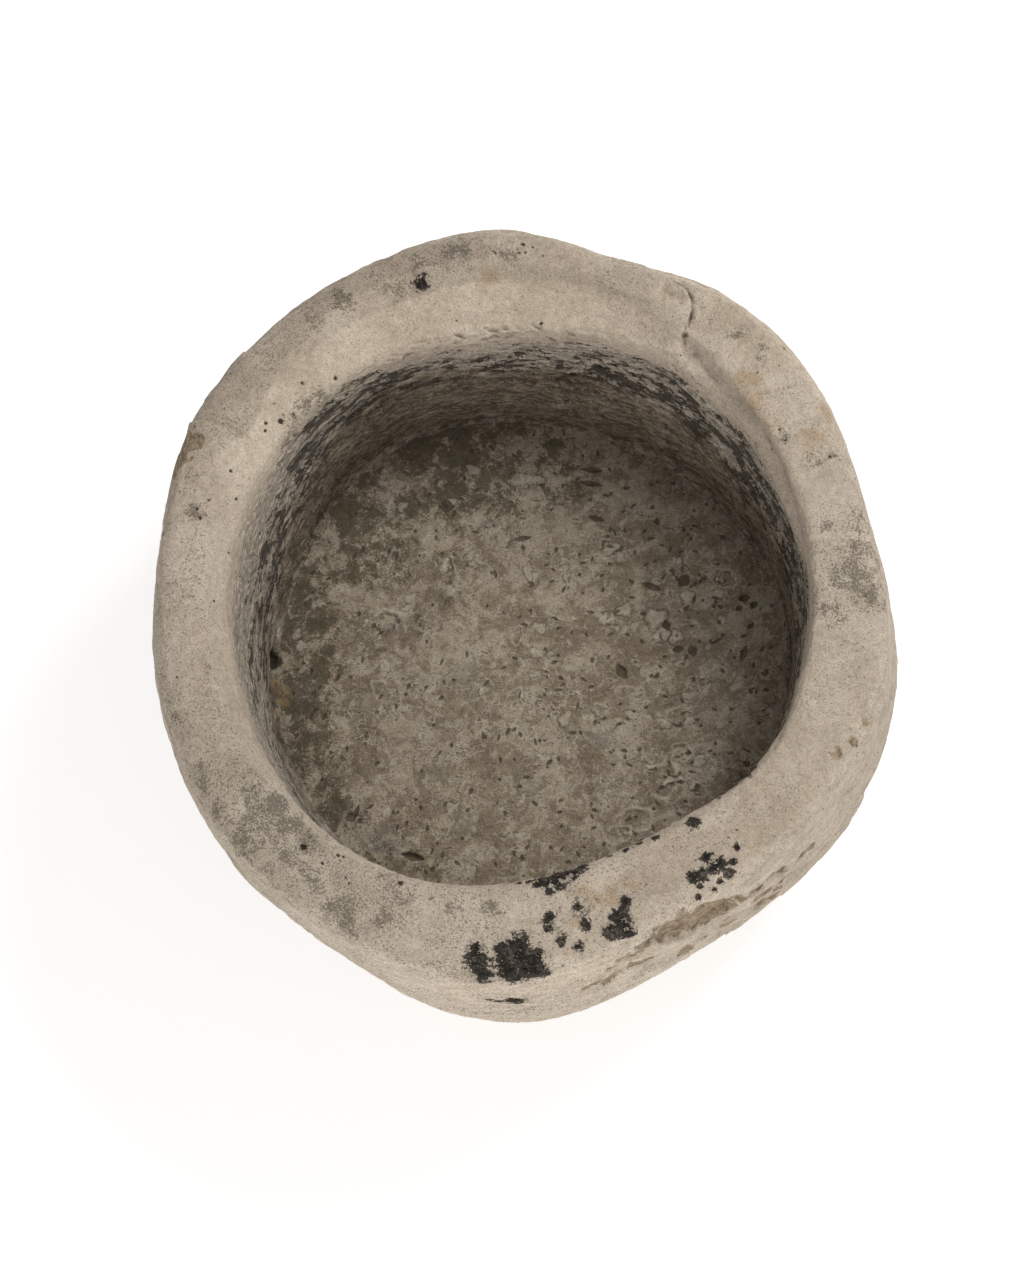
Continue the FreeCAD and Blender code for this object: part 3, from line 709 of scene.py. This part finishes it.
# high on the far inner wall paler: partly paler stone, partly painted light where the front lamp reaches
tone_and_painted_light += 0.12 * wall * smooth(cosT(90), 0.85, 0.99) * smooth(Z, 106, 118)
tone_and_painted_light -= 0.07 * rim * (1 - slope) * smooth(cosT(90), 0.85, 0.99)
tone_and_painted_light += 0.05 * is_floor * smooth(X + 0.3 * Y, 10, 70) * (1 - corner_grime_and_shade)
# painted light: the floor paler in the middle
tone_and_painted_light += 0.07 * is_floor * (1 - smooth(np.hypot(X - 10, Y + 5), 20, 75))
root_line = np.exp(-((Z - 57.0) / 2.0) ** 2) * (J > J_ROOT - 3) * (J < J_ROOT + 12)
crack = np.maximum(crack, root_line * np.clip(0.25 + 0.9 * noise(20, 3, seed=82), 0, 0.7))
soot = np.clip(soot, 0, 1.5)

# nothing may stand out of the underside, or past the outline by more than the stone would
D *= (1 - is_base)
D = np.clip(D, -6.5, 3.0)
P = P + Nrm * D[..., None]
P[..., 2] = np.maximum(P[..., 2], 0.0)
relief_normal = grid_normals(P)

# ---------------------------------------------------------------- the mesh

count = N * K
verts = np.empty((count + 2, 3))
verts[:count] = P.reshape(-1, 3)
verts[count] = (0, 0, P[:, 0, 2].mean())
verts[count + 1] = (0, 0, 0)
gi, gj = np.meshgrid(np.arange(N), np.arange(K - 1), indexing="ij")
gi, gj = gi.ravel(), gj.ravel()
gn = (gi + 1) % N
quads = np.stack([gi * K + gj, gi * K + gj + 1, gn * K + gj + 1, gn * K + gj], axis=1)
ai = np.arange(N)
an = (ai + 1) % N
top_fan = np.stack([np.full(N, count), ai * K, an * K], axis=1)
low_fan = np.stack([np.full(N, count + 1), an * K + K - 1, ai * K + K - 1], axis=1)

mesh = bpy.data.meshes.new("carved_stone")
loops = np.concatenate([quads.ravel(), top_fan.ravel(), low_fan.ravel()])
sizes = np.concatenate([np.full(len(quads), 4), np.full(2 * N, 3)])
mesh.vertices.add(len(verts))
mesh.vertices.foreach_set("co", (verts * 0.001).astype(np.float32).ravel())
mesh.loops.add(len(loops))
mesh.loops.foreach_set("vertex_index", loops.astype(np.int32))
mesh.polygons.add(len(sizes))
mesh.polygons.foreach_set("loop_start", np.concatenate([[0], np.cumsum(sizes)[:-1]]).astype(np.int32))
mesh.polygons.foreach_set("use_smooth", np.ones(len(sizes), dtype=bool))
mesh.update(calc_edges=True)
mesh.validate()

# one map for the whole skin: the wall, rim and outside as two strips, floor and underside as discs
def disc(vi, centre_u):
    return np.stack([centre_u + verts[vi, 0] / 340.0 * 0.33, 0.83 + verts[vi, 1] / 340.0 * 0.33], axis=-1)


uv = np.empty((len(loops), 2))
corner_i = np.stack([gi, gi, gi + 1, gi + 1], axis=1)
corner_j = np.stack([gj, gj + 1, gj + 1, gj], axis=1)
row = (gi >= N // 2)[:, None]
strip = np.stack([(corner_i - row * (N // 2)) / (N / 2) * 0.99 + 0.005,
                  (corner_j - J_ROOT) / (J_FOOT - J_ROOT) * 0.31 + 0.005 + 0.33 * row], axis=-1)
on_disc = disc(quads, 0.17)
under_disc = disc(quads, 0.52)
kind = np.where(gj < J_ROOT, 1, np.where(gj >= J_FOOT, 2, 0))[:, None, None]
uv[:len(quads) * 4] = np.where(kind == 1, on_disc, np.where(kind == 2, under_disc, strip)).reshape(-1, 2)
uv[len(quads) * 4:len(quads) * 4 + 3 * N] = disc(top_fan.ravel(), 0.17)
uv[len(quads) * 4 + 3 * N:] = disc(low_fan.ravel(), 0.52)
mesh.uv_layers.new(name="OFBake")
mesh.uv_layers["OFBake"].data.foreach_set("uv", uv.astype(np.float32).ravel())


def store(name, four):
    data = np.zeros((len(verts), 4), dtype=np.float32)
    data[:count] = np.stack([np.clip(v, 0, 2).ravel() for v in four], axis=1)
    data[count] = data[0:count:K].mean(axis=0)
    mesh.attributes.new(name, "FLOAT_COLOR", "POINT")
    mesh.attributes[name].data.foreach_set("color", data.ravel())


store("stain_and_trough_shade", (soot, brown_stain_and_shade, green, ochre))
store("relief", (shell, pit, speck, crack))
store("zone", (is_floor, wall * (1 - 0.85 * smooth(Z + 8 * lobes, 126, 141)), outer + is_base, rim))
# the first channel is the stone's tone with the painted shade and painted light in it
store("stone_tone_and_painted_light", (1 + tone_and_painted_light, wall_soot, wall_brown, smooth_stone))

bowl = bpy.data.objects.new("carved_stone_bowl", mesh)
bpy.context.scene.collection.objects.link(bowl)
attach(bowl, "root")
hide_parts("mortar_bowl")

# ---------------------------------------------------------------- limestone

stone = bpy.data.materials.new("shelly_limestone")
stone.use_nodes = True
tree = stone.node_tree
tree.nodes.clear()
link = tree.links.new


def add(kind, **values):
    n = tree.nodes.new(kind)
    for key, value in values.items():
        setattr(n, key, value)
    return n


def put(socket, value):
    if isinstance(value, bpy.types.NodeSocket):
        link(value, socket)
    else:
        socket.default_value = value


def math_node(op, a, b=0.0, c=0.0, clamp=False):
    n = add("ShaderNodeMath", operation=op, use_clamp=clamp)
    for socket, value in zip(n.inputs, (a, b, c)):
        put(socket, value)
    return n.outputs[0]


def remap(value, a, b, lo=0.0, hi=1.0, smoothly=True):
    n = add("ShaderNodeMapRange", interpolation_type="SMOOTHSTEP" if smoothly else "LINEAR")
    for socket, v in zip(n.inputs, (value, a, b, lo, hi)):
        put(socket, v)
    return n.outputs[0]


def mix(factor, a, b, blend="MIX"):
    n = add("ShaderNodeMix", data_type="RGBA", blend_type=blend)
    put(n.inputs[0], factor)
    for socket, v in ((n.inputs[6], a), (n.inputs[7], b)):
        put(socket, v if isinstance(v, bpy.types.NodeSocket) else (*v, 1.0))
    return n.outputs[2]


def texture(kind, scale, place, **inputs):
    n = add("ShaderNodeTex" + kind)
    if kind == "Noise":
        n.noise_dimensions = "3D"
    link(place, n.inputs["Vector"])
    n.inputs["Scale"].default_value = scale
    for key, value in inputs.items():
        n.inputs[key.replace("_", " ")].default_value = value
    return n


coords = add("ShaderNodeTexCoord").outputs["Object"]


def attribute(name):
    n = add("ShaderNodeAttribute", attribute_name=name)
    s = add("ShaderNodeSeparateColor")
    link(n.outputs["Color"], s.inputs[0])
    return (*s.outputs, n.outputs["Alpha"])


a_soot, a_brown_stain_and_shade, a_green, a_ochre = attribute("stain_and_trough_shade")
a_shell, a_pit, a_speck, a_crack = attribute("relief")
z_floor, z_wall, z_outer, z_rim = attribute("zone")
t_tone_and_painted_light, t_soot, t_brown, t_smooth = attribute("stone_tone_and_painted_light")

mapping = add("ShaderNodeMapping")
link(coords, mapping.inputs["Vector"])
mapping.inputs["Scale"].default_value = (1, 1, 3.4)
round_the_bowl = mapping.outputs[0]

broad = texture("Noise", 22, coords, Detail=4.0, Roughness=0.55, Distortion=0.4).outputs["Fac"]
cloud = texture("Noise", 75, coords, Detail=6.0, Roughness=0.62, Distortion=0.5).outputs["Fac"]
fine = texture("Noise", 300, coords, Detail=5.0, Roughness=0.68).outputs["Fac"]
grain = texture("Noise", 900, coords, Detail=3.0, Roughness=0.75).outputs["Fac"]
crumbs = texture("Voronoi", 560, coords, Randomness=1.0).outputs["Distance"]
streaks = texture("Noise", 62, round_the_bowl, Detail=7.0, Roughness=0.68, Distortion=0.35).outputs["Fac"]
threads = texture("Noise", 210, round_the_bowl, Detail=4.0, Roughness=0.65, Distortion=0.3).outputs["Fac"]
pore = texture("Voronoi", 250, coords, Randomness=1.0)


def centred(value, gain):
    return math_node("MULTIPLY", math_node("SUBTRACT", value, 0.5), gain)


def total(*values):
    out = values[0]
    for v in values[1:]:
        out = math_node("ADD", out, v)
    return out


def times(*values):
    out = values[0]
    for v in values[1:]:
        out = math_node("MULTIPLY", out, v)
    return out


# weathered rim and outside
fresh = mix(remap(broad, 0.36, 0.64), (0.52, 0.436, 0.350), (0.615, 0.530, 0.438))
fresh = mix(times(remap(cloud, 0.52, 0.66), 0.42), fresh, (0.43, 0.365, 0.290))
fresh = mix(times(remap(cloud, 0.46, 0.34), 0.4), fresh, (0.69, 0.615, 0.52))
hewn = mix(remap(streaks, 0.42, 0.60), (0.68, 0.60, 0.51), (0.50, 0.43, 0.35))
fresh = mix(times(z_outer, 0.55), fresh, hewn)

# worn floor: pale and brown patches with sharp edges, full of shell crumbs
patch_noise = texture("Noise", 30, coords, Detail=9.0, Roughness=0.68, Distortion=0.8).outputs["Fac"]
patch_small = texture("Noise", 95, coords, Detail=7.0, Roughness=0.66, Distortion=0.6).outputs["Fac"]
worn = mix(remap(patch_noise, 0.494, 0.508), (0.275, 0.226, 0.167), (0.385, 0.328, 0.256))
worn = mix(times(remap(patch_noise, 0.585, 0.60), 0.8), worn, (0.43, 0.37, 0.295))
worn = mix(times(remap(patch_noise, 0.425, 0.41), 0.8), worn, (0.205, 0.163, 0.117))
worn = mix(times(remap(patch_small, 0.545, 0.56), 0.66), worn, (0.215, 0.172, 0.124))
worn = mix(times(remap(patch_small, 0.435, 0.42), 0.62), worn, (0.46, 0.405, 0.325))
crumb_noise = texture("Noise", 240, coords, Detail=5.0, Roughness=0.7, Distortion=0.4).outputs["Fac"]
worn = mix(times(remap(crumb_noise, 0.575, 0.60), 0.5), worn, (0.150, 0.118, 0.083))
worn = mix(times(remap(crumb_noise, 0.41, 0.385), 0.45), worn, (0.48, 0.43, 0.35))
bluish = texture("Noise", 48, coords, Detail=6.0, Roughness=0.6, Distortion=1.2).outputs["Fac"]
worn = mix(times(remap(bluish, 0.60, 0.66), 0.55), worn, (0.225, 0.208, 0.182))
warp = add("ShaderNodeVectorMath", operation="MULTIPLY_ADD")
link(texture("Noise", 130, coords, Detail=3.0).outputs["Color"], warp.inputs[0])
warp.inputs[1].default_value = (0.010, 0.010, 0.0)
link(coords, warp.inputs[2])


def curved_lines(scale, stretch, turn, radius, width, pick):
    """Thin broken ovals: the edges of shells ground flat in the floor."""
    m = add("ShaderNodeMapping")
    link(warp.outputs[0], m.inputs["Vector"])
    m.inputs["Rotation"].default_value = (0, 0, turn)
    m.inputs["Scale"].default_value = (1, stretch, 1)
    v = texture("Voronoi", scale, m.outputs[0], Randomness=0.9)
    chosen = remap(v.outputs["Color"], pick, pick + 0.02)
    off = math_node("ABSOLUTE", math_node("SUBTRACT", v.outputs["Distance"], radius))
    inner_off = math_node("ABSOLUTE", math_node("SUBTRACT", v.outputs["Distance"], radius - 2.0 * width))
    gaps = remap(cloud, 0.44, 0.52)
    return times(remap(off, width, width * 0.45), chosen, gaps), times(remap(inner_off, width * 1.1, width * 0.4), chosen, gaps)


for scale, stretch, turn, radius, width, pick in ((82, 1.8, 0.5, 0.30, 0.050, 0.60), (130, 1.6, -0.7, 0.28, 0.070, 0.56), (190, 1.9, 1.1, 0.30, 0.090, 0.55)):
    pale_line, dark_line = curved_lines(scale, stretch, turn, radius, width, pick)
    worn = mix(times(dark_line, 0.55), worn, (0.120, 0.098, 0.070))
    worn = mix(times(pale_line, 0.60), worn, (0.50, 0.45, 0.37))
worn = mix(times(remap(grain, 0.57, 0.65), 0.55), worn, (0.145, 0.115, 0.082))
worn = mix(times(remap(grain, 0.42, 0.35), 0.4), worn, (0.50, 0.445, 0.365))

# inner wall: pale grey stone, soot in streaks above, brown earth below
inner = mix(remap(threads, 0.42, 0.58), (0.36, 0.318, 0.265), (0.66, 0.59, 0.50))
inner = mix(times(remap(fine, 0.52, 0.64), 0.4), inner, (0.27, 0.235, 0.19))
earth = mix(remap(threads, 0.40, 0.60), (0.105, 0.080, 0.056), (0.36, 0.296, 0.220))
earthy = remap(total(t_brown, centred(streaks, 3.0), centred(threads, 2.0)), 0.30, 0.62)
soot_tone = mix(remap(grain, 0.4, 0.62), (0.030, 0.026, 0.021), (0.090, 0.078, 0.064))
wall_black = remap(total(t_soot, centred(streaks, 4.2), centred(threads, 3.0), times(a_pit, 0.30)), 0.50, 0.66)

base = mix(z_wall, fresh, inner)
base = mix(times(earthy, remap(t_brown, 0.0, 0.12), 0.93), base, earth)
wall_black = times(wall_black, remap(t_soot, 0.0, 0.10))
base = mix(times(wall_black, 0.9), base, soot_tone)
base = mix(z_floor, base, worn)

# stains
growth = remap(total(a_green, centred(patch_small, 3.4), centred(fine, 2.4), centred(grain, 2.2)), 0.34, 0.90)
base = mix(times(growth, remap(a_green, 0.0, 0.15), 0.80), base, mix(remap(crumb_noise, 0.42, 0.58), (0.062, 0.055, 0.034), (0.112, 0.090, 0.058)))
base = mix(times(remap(total(a_ochre, centred(fine, 2.6), centred(grain, 1.0)), 0.34, 1.25), 0.46), base, (0.40, 0.265, 0.130))
# the brown field holds brown stains and the painted shade of the troughs
brown_stain_and_shade_colour = mix(remap(threads, 0.40, 0.60), (0.160, 0.108, 0.061), (0.385, 0.295, 0.190))
base = mix(times(remap(total(a_brown_stain_and_shade, centred(fine, 1.1), centred(grain, 0.7)), 0.38, 0.72), 0.80), base, brown_stain_and_shade_colour)
base = mix(math_node("MULTIPLY", a_shell, 0.5, clamp=True), base, (0.52, 0.47, 0.385))
lichen = remap(total(grain, times(a_speck, 0.155)), 0.600, 0.650)
base = mix(times(lichen, 0.72), base, (0.135, 0.120, 0.092))
soft_lichen = times(remap(total(a_speck, centred(fine, 3.2), centred(grain, 1.5)), 0.60, 1.2), 0.24)
base = mix(soft_lichen, base, (0.20, 0.182, 0.145))
hole = remap(total(a_pit, centred(fine, 0.9)), 0.30, 1.05)
pit_in = mix(z_wall, (0.085, 0.066, 0.047), (0.06, 0.052, 0.043))
base = mix(times(hole, math_node("ADD", 0.5, times(z_floor, 0.3))), base, pit_in)
soot_near = remap(a_soot, 0.0, 0.12)
halo = times(remap(total(a_soot, centred(fine, 3.0), centred(grain, 2.0)), 0.10, 0.55), soot_near, 0.42)
base = mix(halo, base, (0.17, 0.152, 0.13))
sooty = times(remap(total(a_soot, centred(fine, 3.4), centred(patch_small, 3.0), centred(grain, 1.6)), 0.46, 0.60), soot_near)
black = mix(remap(fine, 0.40, 0.62), (0.006, 0.005, 0.004), (0.040, 0.034, 0.028))
black = mix(times(remap(patch_small, 0.50, 0.58), remap(grain, 0.45, 0.58), 0.75), black, (0.17, 0.148, 0.12))
base = mix(times(sooty, 0.99), base, black)
base = mix(remap(total(a_crack, centred(fine, 0.5)), 0.2, 0.9, 0.0, 0.9), base, (0.03, 0.022, 0.016))

# pores and grain over everything
pore_here = remap(pore.outputs["Color"], 0.74, 0.76)
pores = times(remap(pore.outputs["Distance"], 0.20, 0.11), pore_here, remap(cloud, 0.44, 0.60))
base = mix(times(pores, 0.75), base, (0.085, 0.066, 0.047))
base = mix(1.0, base, mix(remap(fine, 0.36, 0.64), (0.84, 0.83, 0.81), (1.0, 1.0, 1.0)), "MULTIPLY")
sand = texture("Noise", 1500, coords, Detail=2.0, Roughness=0.8).outputs["Fac"]
sandy = mix(remap(sand, 0.36, 0.64), (1.08, 1.08, 1.08), (0.80, 0.785, 0.765))
base = mix(1.0, base, sandy, "MULTIPLY")
# the colour is multiplied by the stone's tone with its painted shade and painted light
shade = add("ShaderNodeCombineColor")
for socket in shade.inputs[:3]:
    link(t_tone_and_painted_light, socket)
base = mix(1.0, base, shade.outputs[0], "MULTIPLY")

shader = add("ShaderNodeBsdfPrincipled")
link(base, shader.inputs["Base Color"])
rough = remap(cloud, 0.3, 0.7, 0.95, 0.82)
rough = math_node("SUBTRACT", rough, times(z_floor, 0.07))
rough = math_node("SUBTRACT", rough, times(sooty, 0.12))
link(rough, shader.inputs["Roughness"])
shader.inputs["Specular IOR Level"].default_value = 0.16

height = total(times(fine, 0.8), times(grain, 0.5), times(math_node("MINIMUM", crumbs, 0.35), 0.4))
height = math_node("SUBTRACT", height, times(hole, 0.3))
height = math_node("SUBTRACT", height, times(pores, 0.5))
height = math_node("SUBTRACT", height, times(wall_black, z_wall, 0.25))
height = total(height, times(z_wall, threads, 2.6), times(z_outer, streaks, 1.6))
bump = add("ShaderNodeBump")
bump.inputs["Strength"].default_value = 0.9
bump.inputs["Distance"].default_value = 0.0014
link(height, bump.inputs["Height"])
link(bump.outputs[0], shader.inputs["Normal"])
out = add("ShaderNodeOutputMaterial")
link(shader.outputs[0], out.inputs["Surface"])
mesh.materials.append(stone)

# ---------------------------------------------------------------- studio

scene = bpy.context.scene
scene.view_settings.view_transform = "Standard"
scene.view_settings.look = "None"

floor_mesh = bpy.data.meshes.new("studio_floor")
h = 9.0
floor_mesh.from_pydata([(-h, -h, -0.0003), (h, -h, -0.0003), (h, h, -0.0003), (-h, h, -0.0003)], [], [(0, 1, 2, 3)])
floor = bpy.data.objects.new("studio_floor", floor_mesh)
scene.collection.objects.link(floor)
pale = bpy.data.materials.new("pale_floor")
pale.use_nodes = True
b = pale.node_tree.nodes["Principled BSDF"]
b.inputs["Base Color"].default_value = (0.62, 0.62, 0.62, 1)
b.inputs["Roughness"].default_value = 0.9
b.inputs["Specular IOR Level"].default_value = 0.1
b.inputs["Emission Color"].default_value = (1, 1, 1, 1)
b.inputs["Emission Strength"].default_value = 0.60
floor_mesh.materials.append(pale)

world = bpy.data.worlds.new("studio")
world.use_nodes = True
world.node_tree.nodes["Background"].inputs["Color"].default_value = (1.0, 0.985, 0.97, 1)
world.node_tree.nodes["Background"].inputs["Strength"].default_value = 0.48
scene.world = world


def soft_light(name, at, aim, size, power, colour=(1, 1, 1)):
    lamp = bpy.data.lights.new(name, "AREA")
    lamp.shape = "RECTANGLE"
    lamp.size, lamp.size_y = size
    lamp.energy = power
    lamp.color = colour
    o = bpy.data.objects.new(name, lamp)
    o.location = at
    o.rotation_mode = "QUATERNION"
    o.rotation_quaternion = (Vector(aim) - Vector(at)).to_track_quat("-Z", "Y")
    scene.collection.objects.link(o)
    return o


soft_light("key", (0.95, 0.85, 1.30), (0, 0, 0.1), (0.7, 0.7), 19, (1.0, 0.985, 0.96))
soft_light("front", (-0.15, -1.9, 0.62), (0, 0, 0.12), (1.2, 0.5), 16, (1.0, 0.98, 0.955))

direction = Vector((0.065, -0.365, 1.0)).normalized()
target = Vector((-0.00636, -0.00277, 0.090))
camera_data = bpy.data.cameras.new("camera")
camera_data.lens = 3720.0 / 1261.0 * 36.0
camera_data.sensor_width = 36.0
camera = bpy.data.objects.new("camera", camera_data)
camera.location = target + direction * 2.0
right = (-direction).cross(Vector((0, 1, 0))).normalized()
up = right.cross(-direction)
camera.rotation_mode = "QUATERNION"
camera.rotation_quaternion = Matrix((right, up, direction)).transposed().to_quaternion()
scene.collection.objects.link(camera)
scene.camera = camera
